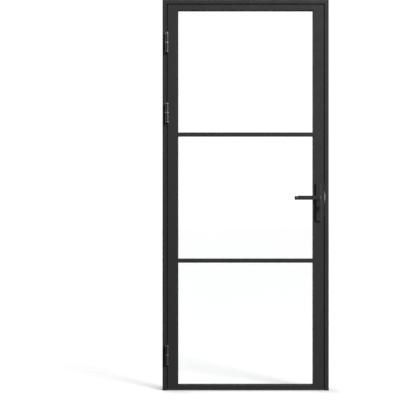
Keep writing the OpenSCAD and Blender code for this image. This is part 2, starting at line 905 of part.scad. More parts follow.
module cylinder_back_plug() {
    plug(cam_half + cam_slot_play, profile_half_len);
}

module cylinder_cam() {
    color(steel)
        union() {
            y_rod(lock_x, cylinder_z, -cam_half, cam_half, cam_ring_r);
            translate([lock_x, 0, cylinder_z])
                rotate([0, cam_rest_turn, 0])
                    intersection() {
                        translate([-cam_nose_w / 2, -cam_half, 0])
                            cube([cam_nose_w, 2 * cam_half, cam_r]);
                        rotate([90, 0, 0])
                            cylinder(r = cam_r, h = 2 * cam_half, center = true, $fn = fine);
                    }
        }
}

module cylinder_screw() {
    color(steel)
        x_screw(leaf_x, 0, cylinder_z - cylinder_screw_drop, -1, screw_r, cylinder_screw_len, head_flare);
}

// Handle plate on the front face, with round seats for the bush and the cylinder
module plate_body() {
    half = plate_w / 2;
    difference() {
        translate([lock_x, 0, plate_z - plate_h / 2])
            linear_extrude(height = plate_h)
                polygon([[-half, front_y], [half, front_y], [half, plate_front_y + plate_chamfer],
                    [half - plate_chamfer, plate_front_y], [-half + plate_chamfer, plate_front_y],
                    [-half, plate_front_y + plate_chamfer]]);
        y_rod(lock_x, lever_z, plate_front_y - over, front_y + over, neck_r + bush_wall);
        euro_prism(plate_front_y - over, front_y + over, slide_fit);
    }
}

module front_plate() {
    color(paint)
        difference() {
            plate_body();
            for (z = plate_bolt_zs)
                y_rod(lock_x, z, front_y - bolt_bite, front_y + over, screw_r);
        }
}

module back_plate() {
    color(paint)
        difference() {
            mirror([0, 1, 0])
                plate_body();
            for (z = plate_bolt_zs)
                plate_bolt(z);
        }
}

// Countersunk bolt from the back plate's face through the stile into the front plate
module plate_bolt(z) {
    translate([lock_x, -plate_front_y, z])
        rotate([90, 0, 0])
            screw(screw_r, -plate_front_y - front_y + bolt_bite, head_flare);
}

module plate_bolts() {
    color(steel)
        for (z = plate_bolt_zs)
            plate_bolt(z);
}

// Collar that the lever's neck turns in
module bush() {
    flange_y = plate_front_y - bush_flange;
    difference() {
        union() {
            y_rod(lock_x, lever_z, plate_front_y, front_y, neck_r + bush_wall);
            y_rod(lock_x, lever_z, flange_y, plate_front_y, neck_r + bush_wall + bush_flange);
        }
        y_rod(lock_x, lever_z, flange_y - over, front_y + over, neck_r + run_fit);
    }
}

module front_bush() {
    color(nylon)
        bush();
}

module back_bush() {
    color(nylon)
        mirror([0, 1, 0])
            bush();
}

// Flat bar on a round neck, with a rounded bend between them
module lever() {
    tip_x = lock_x - lever_len;
    end_x = lock_x + neck_r + bar_past_neck;
    difference() {
        union() {
            y_rod(lock_x, lever_z, bar_back_y - over, front_y, neck_r);
            difference() {
                block([tip_x, bar_front_y, lever_z - lever_h / 2],
                    [end_x, bar_back_y, lever_z + lever_h / 2]);
                translate([end_x - bend_r, bar_front_y + bend_r, lever_z - lever_h])
                    difference() {
                        translate([0, -bend_r - over, 0])
                            cube([bend_r + over, bend_r + over, 2 * lever_h]);
                        cylinder(r = bend_r, h = 2 * lever_h, $fn = fine);
                    }
            }
        }
        square_rod(-plate_front_y + lever_reach - socket_wall, spindle_w / 2 + run_fit);
        grub(screw_r);
    }
}

// Grub screw that locks the lever's neck on the spindle from below
module grub(r) {
    translate([lock_x, grub_y, lever_z - neck_r])
        cylinder(r = r, h = neck_r - spindle_w / 2, $fn = fine);
}

module front_lever() {
    color(paint)
        lever();
}

module back_lever() {
    color(paint)
        mirror([0, 1, 0])
            lever();
}

module spindle() {
    color(steel)
        square_rod(-plate_front_y + lever_reach - socket_wall - spindle_play, spindle_w / 2);
}

module grub_screws() {
    color(steel)
        for (s = [0, 1])
            mirror([0, s, 0])
                grub(screw_r);
}

hinge_jamb();
lock_jamb();
head_profile();
hinge_side_seal();
lock_side_seal();
head_seal();
hinge_frame_wing(hinge_zs[0]);  // bottom_hinge_frame_wing
hinge_leaf_wing(hinge_zs[0]);  // bottom_hinge_leaf_wing
hinge_pin(hinge_zs[0]);  // bottom_hinge_pin
hinge_ring(hinge_zs[0]);  // bottom_hinge_ring
hinge_frame_wing(hinge_zs[1]);  // middle_hinge_frame_wing
hinge_leaf_wing(hinge_zs[1]);  // middle_hinge_leaf_wing
hinge_pin(hinge_zs[1]);  // middle_hinge_pin
hinge_ring(hinge_zs[1]);  // middle_hinge_ring
hinge_frame_wing(hinge_zs[2]);  // top_hinge_frame_wing
hinge_leaf_wing(hinge_zs[2]);  // top_hinge_leaf_wing
hinge_pin(hinge_zs[2]);  // top_hinge_pin
hinge_ring(hinge_zs[2]);  // top_hinge_ring
hinge_frame_screws();
hinge_leaf_screws();
strike_plate();
strike_screws();
hinge_stile();
lock_stile();
top_rail();
bottom_rail();
lower_bar();
upper_bar();
pane(lower_rebate);  // lower_pane
pane(middle_rebate);  // middle_pane
pane(upper_rebate);  // upper_pane
gasket(lower_rebate);  // lower_gasket
gasket(middle_rebate);  // middle_gasket
gasket(upper_rebate);  // upper_gasket
beads(lower_rebate);  // lower_beads
beads(middle_rebate);  // middle_beads
beads(upper_rebate);  // upper_beads
setting_blocks();
lock_case();
lock_cover();
faceplate();
faceplate_screws();
follower();
latch_bolt();
latch_spring();
dead_bolt();
cylinder_body();
cylinder_front_plug();
cylinder_back_plug();
cylinder_cam();
cylinder_screw();
front_plate();
back_plate();
front_bush();
back_bush();
front_lever();
back_lever();
spindle();
plate_bolts();
grub_screws();
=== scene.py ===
from math import cos, pi, radians, sin, tan

import bmesh
import bpy
from mathutils import Matrix, Vector


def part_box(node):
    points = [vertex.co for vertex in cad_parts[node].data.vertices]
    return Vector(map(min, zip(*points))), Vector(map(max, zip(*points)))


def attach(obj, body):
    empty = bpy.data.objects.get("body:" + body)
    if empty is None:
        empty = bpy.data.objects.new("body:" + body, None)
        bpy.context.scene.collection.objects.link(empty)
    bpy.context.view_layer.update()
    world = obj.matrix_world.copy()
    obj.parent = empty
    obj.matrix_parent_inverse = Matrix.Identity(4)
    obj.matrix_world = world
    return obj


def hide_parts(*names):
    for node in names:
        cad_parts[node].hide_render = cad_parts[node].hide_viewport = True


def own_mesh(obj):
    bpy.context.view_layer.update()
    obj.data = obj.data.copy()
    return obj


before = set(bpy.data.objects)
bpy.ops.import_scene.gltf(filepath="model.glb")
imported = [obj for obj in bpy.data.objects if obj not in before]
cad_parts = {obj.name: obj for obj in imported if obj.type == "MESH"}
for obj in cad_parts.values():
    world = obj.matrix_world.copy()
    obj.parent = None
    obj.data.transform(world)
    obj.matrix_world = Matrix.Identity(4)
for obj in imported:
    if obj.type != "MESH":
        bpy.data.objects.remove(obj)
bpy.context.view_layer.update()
bpy.ops.object.select_all(action="DESELECT")

# ---- Frame ----
# Two jambs and a head of cold-formed steel tube with a 2 mm wall and a stop behind the leaf. They are
# mitred, welded and ground flush at the top corners, then powder coated in a fine-textured matt black.

# Most of a noise's values lie between these two
noise_low = 0.35
noise_high = 0.65
# Points closer than this are one, and faces that turn less than this are one flat face
same_place = 0.00001
flat_joint = radians(0.5)
# An edge that turns more than the first is a corner, and one that turns less than the second is in a curve
sharp_turn = radians(40)
smooth_turn = radians(32)


def shader_of(finish):
    """The shader that all of a finish's patterns feed"""
    return finish.node_tree.nodes["Principled BSDF"]


def new_finish(name, constants):
    """Material for one of the door's finishes, with the values that are the same all over it"""
    finish = bpy.data.materials.new(name)
    finish.use_nodes = True
    for socket, value in constants.items():
        shader_of(finish).inputs[socket].default_value = value
    return finish


def put_node(finish, kind, values):
    """Adds a node to a finish and sets its inputs"""
    node = finish.node_tree.nodes.new(kind)
    for socket, value in values.items():
        node.inputs[socket].default_value = value
    return node


def grain(finish, size, detail, stretch=(1, 1, 1)):
    """Irregular pattern with features of the given size, drawn out along the stretched axes"""
    place = put_node(finish, "ShaderNodeTexCoord", {})
    spread = put_node(finish, "ShaderNodeMapping", {"Scale": [1 / (size * s) for s in stretch]})
    noise = put_node(finish, "ShaderNodeTexNoise", {"Scale": 1.0, "Detail": detail})
    links = finish.node_tree.links
    links.new(place.outputs["Object"], spread.inputs["Vector"])
    links.new(spread.outputs["Vector"], noise.inputs["Vector"])
    return noise.outputs["Fac"]


def tint(finish, pattern, low, high):
    """Lets the colour wander between two near shades along a pattern"""
    ramp = put_node(finish, "ShaderNodeValToRGB", {})
    for stop, place, shade in zip(ramp.color_ramp.elements, (noise_low, noise_high), (low, high)):
        stop.position = place
        stop.color = (*shade, 1)
    finish.node_tree.links.new(pattern, ramp.inputs["Fac"])
    finish.node_tree.links.new(ramp.outputs["Color"], shader_of(finish).inputs["Base Color"])


def gloss(finish, pattern, low, high):
    """Lets the roughness wander between two values along a pattern"""
    spread = put_node(finish, "ShaderNodeMapRange",
                      {"From Min": noise_low, "From Max": noise_high, "To Min": low, "To Max": high})
    finish.node_tree.links.new(pattern, spread.inputs["Value"])
    finish.node_tree.links.new(spread.outputs["Result"], shader_of(finish).inputs["Roughness"])


def relief(finish, pattern, depth):
    """Raises and lowers the surface by a depth in metres along a pattern"""
    bump = put_node(finish, "ShaderNodeBump", {"Strength": 1.0, "Distance": depth})
    finish.node_tree.links.new(pattern, bump.inputs["Height"])
    finish.node_tree.links.new(bump.outputs["Normal"], shader_of(finish).inputs["Normal"])


black_coat = new_finish("black_coat", {"Specular IOR Level": 0.6})
tint(black_coat, grain(black_coat, size=0.0015, detail=3),
     low=(0.0120, 0.0120, 0.0122), high=(0.0175, 0.0175, 0.0178))
gloss(black_coat, grain(black_coat, size=0.06, detail=4), low=0.64, high=0.72)
relief(black_coat, grain(black_coat, size=0.0008, detail=2), depth=0.00002)


def take_up(piece):
    """Leaves one piece selected and active"""
    bpy.ops.object.select_all(action="DESELECT")
    piece.select_set(True)
    bpy.context.view_layer.objects.active = piece


def pick_all(piece):
    """Opens a piece in edit mode with all of it selected"""
    take_up(piece)
    bpy.ops.object.mode_set(mode="EDIT")
    bpy.ops.mesh.select_all(action="SELECT")


def pick(piece, kind, wanted):
    """Opens a piece in edit mode with only the wanted edges or faces selected"""
    take_up(piece)
    bpy.ops.object.mode_set(mode="EDIT")
    bpy.ops.mesh.select_mode(type=kind)
    bpy.ops.mesh.select_all(action="DESELECT")
    mesh = bmesh.from_edit_mesh(piece.data)
    for part in mesh.edges if kind == "EDGE" else mesh.faces:
        if wanted(part):
            part.select_set(True)
    bmesh.update_edit_mesh(piece.data)


def put_down():
    """Leaves edit mode"""
    bpy.ops.object.mode_set(mode="OBJECT")


def round_edges(piece, radius, segments, wanted):
    """Rounds the wanted edges, or chamfers them where there is one segment"""
    pick(piece, "EDGE", wanted)
    bpy.ops.mesh.bevel(offset=radius, segments=segments, profile=0.5, affect="EDGES", clamp_overlap=False)
    put_down()


def copy_node(node, name):
    """Own copy of a CAD node's mesh, with its loose triangles merged into whole faces"""
    piece = bpy.data.objects.new(name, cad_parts[node].data.copy())
    bpy.context.scene.collection.objects.link(piece)
    piece.data.materials.clear()
    take_up(piece)
    bpy.ops.mesh.customdata_custom_splitnormals_clear()
    pick_all(piece)
    bpy.ops.mesh.remove_doubles(threshold=same_place)
    bpy.ops.mesh.dissolve_limited(angle_limit=flat_joint)
    put_down()
    return piece


def corner(edge):
    """True for a sharp edge that points out of the piece"""
    return edge.is_convex and edge.calc_face_angle(0) > sharp_turn


def corner_over(length):
    """Test for the corners that are longer than a length"""
    return lambda edge: corner(edge) and edge.calc_length() > length


def hand_over(piece, finish, body, node):
    """Gives a piece its finish, smooths its curves and fixes it to its body"""
    if not piece.data.materials:
        piece.data.materials.append(finish)
    take_up(piece)
    bpy.ops.object.shade_smooth_by_angle(angle=smooth_turn)
    flat = piece.modifiers.new("flat_faces", "WEIGHTED_NORMAL")
    flat.keep_sharp = True
    bpy.ops.object.modifier_apply(modifier=flat.name)
    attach(piece, body)
    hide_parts(node)


# Only the corners that run along a tube are rounded, so its holes and notches stay sharp
tube_edge = 0.001
long_corner = corner_over(0.09)
for node in ("hinge_jamb", "lock_jamb", "head_profile"):
    tube = copy_node(node, "coated_" + node)
    round_edges(tube, tube_edge, segments=3, wanted=long_corner)
    hand_over(tube, black_coat, "frame", node)

# ---- Seals ----
# Black rubber strips with a flat back and a domed front. They are pressed onto the face of the stop and
# mitred at the top corners, and the leaf shuts against their crowns.

seal_rubber = new_finish("seal_rubber", {})
tint(seal_rubber, grain(seal_rubber, size=0.02, detail=4),
     low=(0.012, 0.012, 0.012), high=(0.022, 0.022, 0.022))
gloss(seal_rubber, grain(seal_rubber, size=0.004, detail=3), low=0.62, high=0.8)
relief(seal_rubber, grain(seal_rubber, size=0.0004, detail=2), depth=0.00002)


def rod(name, low, high, radius, sides=48):
    """Round bar between two points"""
    along = Vector(high) - Vector(low)
    bpy.ops.object.select_all(action="DESELECT")
    bpy.ops.mesh.primitive_cylinder_add(
        vertices=sides, radius=radius, depth=along.length,
        location=(Vector(low) + Vector(high)) / 2, rotation=along.to_track_quat("Z", "Y").to_euler())
    bpy.ops.object.transform_apply(location=True, rotation=True, scale=True)
    piece = bpy.context.object
    piece.name = name
    return piece


def trim(piece, at, away, keep_away=False):
    """Saws off what lies on the far side of a plane, and closes the cut"""
    pick_all(piece)
    bpy.ops.mesh.bisect(plane_co=at, plane_no=away, use_fill=True,
                        clear_outer=not keep_away, clear_inner=keep_away)
    put_down()


def domed_strip(name, low, high, upright):
    """Strip with a flat back on the plane of high.y and a domed front that reaches low.y"""
    middle = (low + high) / 2
    width = high.x - low.x if upright else high.z - low.z
    ends = [Vector((middle.x, high.y, low.z)), Vector((middle.x, high.y, high.z))]
    if not upright:
        ends = [Vector((low.x, high.y, middle.z)), Vector((high.x, high.y, middle.z))]
    strip = rod(name, *ends, width / 2)
    pick_all(strip)
    bpy.ops.transform.resize(value=(1, 2 * (high.y - low.y) / width, 1), center_override=ends[0])
    put_down()
    trim(strip, (0, high.y, 0), (0, 1, 0))
    return strip


for node, side in (("hinge_side_seal", 1), ("lock_side_seal", -1)):
    low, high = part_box(node)
    seal = domed_strip("rubber_" + node, low, high, upright=True)
    outer_x = low.x if side > 0 else high.x
    trim(seal, (outer_x, 0, high.z), (side, 0, 1))
    hand_over(seal, seal_rubber, "frame", node)

low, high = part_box("head_seal")
seal = domed_strip("rubber_head_seal", low, high, upright=False)
trim(seal, (low.x, 0, high.z), (1, 0, 1), keep_away=True)
trim(seal, (high.x, 0, high.z), (-1, 0, 1), keep_away=True)
hand_over(seal, seal_rubber, "frame", "head_seal")

# ---- Hinges ----
# Three pin hinges of turned steel. Each has a lower half on the frame and an upper half on the leaf, with
# flat wings in the running gap, a bright bearing ring between the halves and a bright cap on each pin end.

hinge_coat = new_finish("hinge_coat", {"Specular IOR Level": 0.8})
tint(hinge_coat, grain(hinge_coat, size=0.0015, detail=3),
     low=(0.015, 0.015, 0.0153), high=(0.022, 0.022, 0.0225))
gloss(hinge_coat, grain(hinge_coat, size=0.02, detail=4), low=0.42, high=0.52)
relief(hinge_coat, grain(hinge_coat, size=0.0009, detail=2), depth=0.00002)

steel = new_finish("bright_steel", {"Metallic": 1.0})
tint(steel, grain(steel, size=0.003, detail=4), low=(0.38, 0.38, 0.39), high=(0.50, 0.50, 0.51))
gloss(steel, grain(steel, size=0.002, detail=4, stretch=(1, 1, 6)), low=0.32, high=0.44)
relief(steel, grain(steel, size=0.0005, detail=2, stretch=(6, 6, 1)), depth=0.000008)

# Ends of mirrored halves are one point within this, and points this near to a plane lie on it
touching = 0.000001
one_level = 0.0003
# A face is square to an axis where its normal reaches this far along it
square_on = 0.99
drill_past = 0.001
drill_len = 0.02


def block(name, low, high):
    """Square bar between two corners"""
    low, high = Vector(low), Vector(high)
    bpy.ops.object.select_all(action="DESELECT")
    bpy.ops.mesh.primitive_cube_add(size=1, location=(low + high) / 2, scale=high - low)
    bpy.ops.object.transform_apply(location=True, rotation=True, scale=True)
    piece = bpy.context.object
    piece.name = name
    return piece


def work(piece, tool, operation="DIFFERENCE"):
    """Cuts a tool's shape out of a piece, or welds it on, and puts the tool away"""
    take_up(piece)
    joint = piece.modifiers.new(operation, "BOOLEAN")
    joint.operation = operation
    joint.solver = "EXACT"
    joint.object = tool
    bpy.ops.object.modifier_apply(modifier=joint.name)
    bpy.data.objects.remove(tool)


def twin(piece, name, matrix):
    """Copy of a piece with its own mesh, moved or turned by a matrix"""
    copy = bpy.data.objects.new(name, piece.data.copy())
    bpy.context.scene.collection.objects.link(copy)
    copy.data.transform(matrix)
    return copy


def turned(matrix, at):
    """The same matrix, acting about a point"""
    return Matrix.Translation(at) @ matrix @ Matrix.Translation(-Vector(at))


def aimed(at, along):
    """Matrix that sets what stands on the origin at a point, with its Z along a direction"""
    return Matrix.Translation(at) @ Vector(along).to_track_quat("Z", "Y").to_matrix().to_4x4()


def join(pieces):
    """Makes one piece of several, under the name of the first"""
    take_up(pieces[0])
    for piece in pieces[1:]:
        piece.select_set(True)
    bpy.ops.object.join()


def mend(piece):
    """Merges the points that meet in a joined or mirrored piece, and turns its faces outwards"""
    pick_all(piece)
    bpy.ops.mesh.remove_doubles(threshold=touching)
    bpy.ops.mesh.normals_make_consistent(inside=False)
    put_down()


def lies_at(edge, along, place):
    """True if both ends of an edge are at a place along x, y or z"""
    return all(abs(getattr(end.co, along) - place) < one_level for end in edge.verts)


def screw_blank(name, head_r, shank_r, flare, length):
    """Countersunk head at the origin with its shank along Z"""
    bpy.ops.object.select_all(action="DESELECT")
    bpy.ops.mesh.primitive_cone_add(vertices=40, radius1=head_r, radius2=shank_r, depth=flare,
                                    location=(0, 0, flare / 2))
    bpy.ops.object.transform_apply(location=True, rotation=True, scale=True)
    blank = bpy.context.object
    blank.name = name
    pick(blank, "FACE", lambda face: face.normal.z > square_on)
    bpy.ops.mesh.extrude_region_move(TRANSFORM_OT_translate={"value": (0, 0, length - flare)})
    put_down()
    return blank


def hollow(piece, low, high, radius):
    """Drills a round hole along a line, a little past both ends"""
    past = (Vector(high) - Vector(low)).normalized() * drill_past
    work(piece, rod("drill", Vector(low) - past, Vector(high) + past, radius))


def countersink(piece, at, along, head_r, shank_r, flare):
    """Cuts the cone for a screw's head at a face, and the hole for its shank"""
    drill = screw_blank("drill", head_r, shank_r, flare, drill_len)
    drill.data.transform(aimed(at, along))
    work(piece, drill)


def hinge_z(place):
    """Height of the middle of the bottom, middle or top hinge"""
    low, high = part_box(place + "_hinge_ring")
    return (low.z + high.z) / 2


hinge_places = ("bottom", "middle", "top")
ring_low, ring_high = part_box("bottom_hinge_ring")
pin_low, pin_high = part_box("bottom_hinge_pin")
wing_low, wing_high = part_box("bottom_hinge_frame_wing")
axis = (ring_low + ring_high) / 2
ring_r = (ring_high.x - ring_low.x) / 2
barrel_r = (pin_high.x - pin_low.x) / 2
barrel_edge = 0.0006
pin_r = 0.005
cap_t = 0.004
cap_play = 0.0003
barrel_bottom = Vector((axis.x, axis.y, pin_low.z + cap_t + cap_play))
barrel_top = Vector((axis.x, axis.y, ring_low.z))
half_gap = 0.00225
wing_t = 0.002
wing_corner = 0.003
wing_x = axis.x - half_gap
plane_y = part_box("hinge_jamb")[0].y
hinge_screw_back = 0.018
hinge_screw_y = plane_y + hinge_screw_back
hinge_screw_rises = (-0.038, 0, 0.038)
hinge_head_r = 0.0045
hinge_shank_r = 0.0025
hinge_flare = 0.002

knuckle = rod("knuckle", barrel_bottom, barrel_top, barrel_r, sides=64)
round_edges(knuckle, barrel_edge, segments=3, wanted=corner)
neck = block("neck", (wing_x, axis.y + barrel_r / 2, barrel_bottom.z),
             (wing_x + wing_t, plane_y + wing_t, barrel_top.z))
work(knuckle, neck, "UNION")
wing = block("wing", (wing_x, plane_y, wing_low.z), (wing_x + wing_t, wing_high.y, wing_high.z))
round_edges(wing, wing_corner, segments=5, wanted=lambda edge:
            lies_at(edge, "y", wing_high.y) and edge.calc_length() < 2 * wing_t)
work(knuckle, wing, "UNION")
hollow(knuckle, barrel_bottom, barrel_top, pin_r)
for rise in hinge_screw_rises:
    countersink(knuckle, (wing_x + wing_t, hinge_screw_y, axis.z + rise), (-1, 0, 0),
                hinge_head_r, hinge_shank_r, hinge_flare)

ring_ends = ((axis.x, axis.y, ring_low.z), (axis.x, axis.y, ring_high.z))
ring = rod("ring", *ring_ends, ring_r, sides=64)
round_edges(ring, barrel_edge, segments=3, wanted=corner)
hollow(ring, *ring_ends, pin_r)

cap_edge = 0.001
cap_dimple = 0.0008
dimple_taper = 0.6
pin = rod("pin", (axis.x, axis.y, pin_low.z), (axis.x, axis.y, pin_low.z + cap_t), barrel_r, sides=64)
round_edges(pin, cap_edge, segments=3, wanted=lambda edge: corner(edge) and lies_at(edge, "z", pin_low.z))
pick(pin, "FACE", lambda face: face.normal.z < -square_on)
bpy.ops.mesh.inset(thickness=barrel_r - cap_edge - pin_r)
bpy.ops.mesh.extrude_region_move(TRANSFORM_OT_translate={"value": (0, 0, cap_dimple)})
bpy.ops.transform.resize(value=(dimple_taper, dimple_taper, 1), center_override=(axis.x, axis.y, pin_low.z))
put_down()
pick(pin, "FACE", lambda face: face.normal.z > square_on)
bpy.ops.mesh.inset(thickness=barrel_r - pin_r)
bpy.ops.mesh.extrude_region_move(TRANSFORM_OT_translate={"value": (0, 0, axis.z - pin_low.z - cap_t)})
bpy.ops.mesh.delete(type="FACE")
put_down()
flip = turned(Matrix.Rotation(pi, 4, "Y"), axis)
join([pin, twin(pin, "other_end", flip)])
mend(pin)

for place in hinge_places:
    hinge = place + "_hinge_"
    lift = Matrix.Translation((0, 0, hinge_z(place) - axis.z))
    hand_over(twin(knuckle, hinge + "lower_half", lift), hinge_coat, "frame",
              hinge + "frame_wing")
    hand_over(twin(knuckle, hinge + "upper_half", lift @ flip), hinge_coat, "leaf",
              hinge + "leaf_wing")
    hand_over(twin(pin, hinge + "capped_pin", lift), steel, "frame", hinge + "pin")
    hand_over(twin(ring, hinge + "bearing_ring", lift), steel, "frame", hinge + "ring")
for pattern in (knuckle, pin, ring):
    bpy.data.objects.remove(pattern)

# ---- Hinge screws ----
# Black-finished countersunk M5 screws with a hexagon socket, three through each wing into the threaded
# wall of jamb or stile.

black_steel = new_finish("black_steel", {"Metallic": 0.8})
tint(black_steel, grain(black_steel, size=0.002, detail=3), low=(0.03, 0.03, 0.032), high=(0.06, 0.06, 0.063))
gloss(black_steel, grain(black_steel, size=0.003, detail=3), low=0.35, high=0.5)
relief(black_steel, grain(black_steel, size=0.0005, detail=2), depth=0.00001)


def socket_screw(head_r, shank_r, flare, length):
    """Countersunk screw at the origin, with a hexagon socket in its head and a chamfered tip"""
    chamfer = shank_r / 4
    socket_r = head_r * 0.42
    socket_depth = flare * 0.75
    screw = screw_blank("pattern", head_r, shank_r, flare, length)
    round_edges(screw, chamfer, segments=1, wanted=lambda edge: corner(edge) and lies_at(edge, "z", length))
    work(screw, rod("key", (0, 0, -flare), (0, 0, socket_depth), socket_r, sides=6))
    return screw


def set_screws(name, pattern, places, along):
    """Copies of a screw at several places, joined as one piece; the pattern is put away"""
    copies = [twin(pattern, name, aimed(place, along)) for place in places]
    join(copies)
    bpy.data.objects.remove(pattern)
    return copies[0]


hinge_screw_len = 0.010
for node, side, face_x, body in (
        ("hinge_frame_screws", -1, wing_x + wing_t, "frame"),
        ("hinge_leaf_screws", 1, 2 * axis.x - wing_x - wing_t, "leaf")):
    places = [(face_x, hinge_screw_y, hinge_z(place) + rise)
              for place in hinge_places for rise in hinge_screw_rises]
    pattern = socket_screw(hinge_head_r, hinge_shank_r, hinge_flare, hinge_screw_len)
    screws = set_screws("socket_" + node, pattern, places, (side, 0, 0))
    hand_over(screws, black_steel, body, node)

# ---- Strike plate ----
# Stamped stainless plate on the lock jamb's rebate, with a window for each bolt and a short lip at the
# front that leads the latch bolt in. Two small screws with a cross recess hold it.

satin_stainless = new_finish("satin_stainless", {"Metallic": 1.0})
tint(satin_stainless, grain(satin_stainless, size=0.006, detail=3),
     low=(0.60, 0.60, 0.61), high=(0.72, 0.72, 0.73))
gloss(satin_stainless, grain(satin_stainless, size=0.0008, detail=3, stretch=(1, 1, 25)), low=0.36, high=0.48)
relief(satin_stainless, grain(satin_stainless, size=0.0004, detail=2, stretch=(1, 1, 30)), depth=0.000003)


def cross_screw(head_r, shank_r, flare, length):
    """Countersunk screw at the origin, with a cross recess in its head"""
    arm = head_r * 0.6
    slot = head_r * 0.15
    depth = flare * 0.6
    screw = screw_blank("pattern", head_r, shank_r, flare, length)
    work(screw, block("key", (-arm, -slot, -flare), (arm, slot, depth)))
    work(screw, block("key", (-slot, -arm, -flare), (slot, arm, depth)))
    return screw


plate_edge = 0.0004
strike_corner = corner_over(0.006)
strike = copy_node("strike_plate", "stamped_strike_plate")
round_edges(strike, plate_edge, segments=2, wanted=strike_corner)
hand_over(strike, satin_stainless, "frame", "strike_plate")

small_head_r = 0.004
small_shank_r = 0.002
small_flare = 0.002
small_screw_len = 0.012
low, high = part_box("strike_screws")
places = [(low.x, 0, low.z + small_head_r), (low.x, 0, high.z - small_head_r)]
pattern = cross_screw(small_head_r, small_shank_r, small_flare, small_screw_len)
hand_over(set_screws("cross_strike_screws", pattern, places, (1, 0, 0)), satin_stainless, "frame",
          "strike_screws")

# ---- Leaf ----
# Stiles, rails and glazing bars of slim steel tube with a lip in front that the glass is set behind. They
# are welded, ground flush at the joints and powder coated like the frame.

leaf_edge = 0.001
for node in ("hinge_stile", "lock_stile", "top_rail", "bottom_rail", "lower_bar", "upper_bar"):
    tube = copy_node(node, "coated_" + node)
    round_edges(tube, leaf_edge, segments=3, wanted=long_corner)
    hand_over(tube, black_coat, "leaf", node)

# ---- Glass ----
# Three panes of clear float glass, 8 mm thick, with ground arrises. They stand on nylon setting blocks in
# the rebates, and let the light through without a shadow.

clear_glass = new_finish("clear_glass", {"Transmission Weight": 1.0, "IOR": 1.5})
tint(clear_glass, grain(clear_glass, size=0.4, detail=2),
     low=(0.980, 0.992, 0.986), high=(0.988, 0.996, 0.992))
gloss(clear_glass, grain(clear_glass, size=0.08, detail=4), low=0.0, high=0.02)
ground_edge = new_finish("ground_edge", {"Transmission Weight": 0.6})
tint(ground_edge, grain(ground_edge, size=0.01, detail=3), low=(0.35, 0.55, 0.47), high=(0.45, 0.66, 0.57))
gloss(ground_edge, grain(ground_edge, size=0.001, detail=3), low=0.45, high=0.65)


def on_side(face):
    """True for a face that isn't square to Y"""
    return abs(face.normal.y) < square_on


arris = 0.001
for node in ("lower_pane", "middle_pane", "upper_pane"):
    pane = block("glass_" + node, *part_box(node))
    round_edges(pane, arris, segments=1, wanted=lambda edge: True)
    pane.data.materials.append(clear_glass)
    pane.data.materials.append(ground_edge)
    pick(pane, "FACE", on_side)
    pane.active_material_index = 1
    bpy.ops.object.material_slot_assign()
    put_down()
    hand_over(pane, clear_glass, "leaf", node)
    pane.visible_shadow = False
    pane.visible_diffuse = False

# ---- Glazing ----
# A channel of black rubber around each pane shows as a thin rounded line beyond the lip. Behind it four
# box-section steel beads, coated like the leaf, clip into the rebate. The setting blocks are black nylon.

nylon = new_finish("black_nylon", {})
tint(nylon, grain(nylon, size=0.003, detail=3), low=(0.015, 0.015, 0.015), high=(0.024, 0.024, 0.024))
gloss(nylon, grain(nylon, size=0.002, detail=3), low=0.4, high=0.55)
relief(nylon, grain(nylon, size=0.0006, detail=2), depth=0.000015)


def dress(finish, *nodes):
    """Gives CAD nodes that stay as they are their finish"""
    for node in nodes:
        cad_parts[node].data.materials.clear()
        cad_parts[node].data.materials.append(finish)


gasket_edge = 0.0009
bead_edge = 0.0005
for place in ("lower", "middle", "upper"):
    gasket = copy_node(place + "_gasket", "rubber_" + place + "_gasket")
    round_edges(gasket, gasket_edge, segments=3, wanted=long_corner)
    hand_over(gasket, seal_rubber, "leaf", place + "_gasket")
    beads = copy_node(place + "_beads", "coated_" + place + "_beads")
    round_edges(beads, bead_edge, segments=2, wanted=long_corner)
    hand_over(beads, black_coat, "leaf", place + "_beads")
dress(nylon, "setting_blocks")

# ---- Lock ----
# Narrow-stile mortise lock: a galvanised case and cover, a stainless faceplate let into the stile's edge,
# a follower for the spindle, a sloped latch bolt and a square dead bolt. A coil spring sits behind the latch
# bolt.

zinc_case = new_finish("zinc_case", {"Metallic": 1.0})
tint(zinc_case, grain(zinc_case, size=0.008, detail=1), low=(0.42, 0.43, 0.44), high=(0.62, 0.63, 0.64))
gloss(zinc_case, grain(zinc_case, size=0.006, detail=2), low=0.35, high=0.55)
relief(zinc_case, grain(zinc_case, size=0.001, detail=3), depth=0.00001)
dress(zinc_case, "lock_case", "lock_cover")
dress(steel, "follower")

low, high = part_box("latch_spring")
spring = copy_node("latch_spring", "coiled_latch_spring")
hand_over(spring, steel, "leaf", "latch_spring")
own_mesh(spring)

bolt_edge = 0.0006
lock_corner = corner_over(0.007)
for node, body, edge_r in (("faceplate", "leaf", plate_edge), ("latch_bolt", "latch", bolt_edge),
                           ("dead_bolt", "bolt", bolt_edge)):
    part = copy_node(node, "satin_" + node)
    round_edges(part, edge_r, segments=2, wanted=lock_corner)
    hand_over(part, satin_stainless, body, node)

low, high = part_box("faceplate_screws")
places = [(high.x, 0, low.z + small_head_r), (high.x, 0, high.z - small_head_r)]
pattern = cross_screw(small_head_r, small_shank_r, small_flare, small_screw_len)
hand_over(set_screws("cross_faceplate_screws", pattern, places, (-1, 0, 0)), satin_stainless, "leaf",
          "faceplate_screws")

# ---- Cylinder ----
# Brass euro profile cylinder, plated in matt black nickel, with a keyed plug in each face and a cam
# between them. One long screw through the faceplate holds it.

black_nickel = new_finish("black_nickel", {"Metallic": 0.7})
tint(black_nickel, grain(black_nickel, size=0.004, detail=3),
     low=(0.030, 0.030, 0.031), high=(0.045, 0.045, 0.046))
gloss(black_nickel, grain(black_nickel, size=0.001, detail=3, stretch=(1, 8, 1)), low=0.40, high=0.52)
relief(black_nickel, grain(black_nickel, size=0.0006, detail=2, stretch=(1, 8, 1)), depth=0.000006)

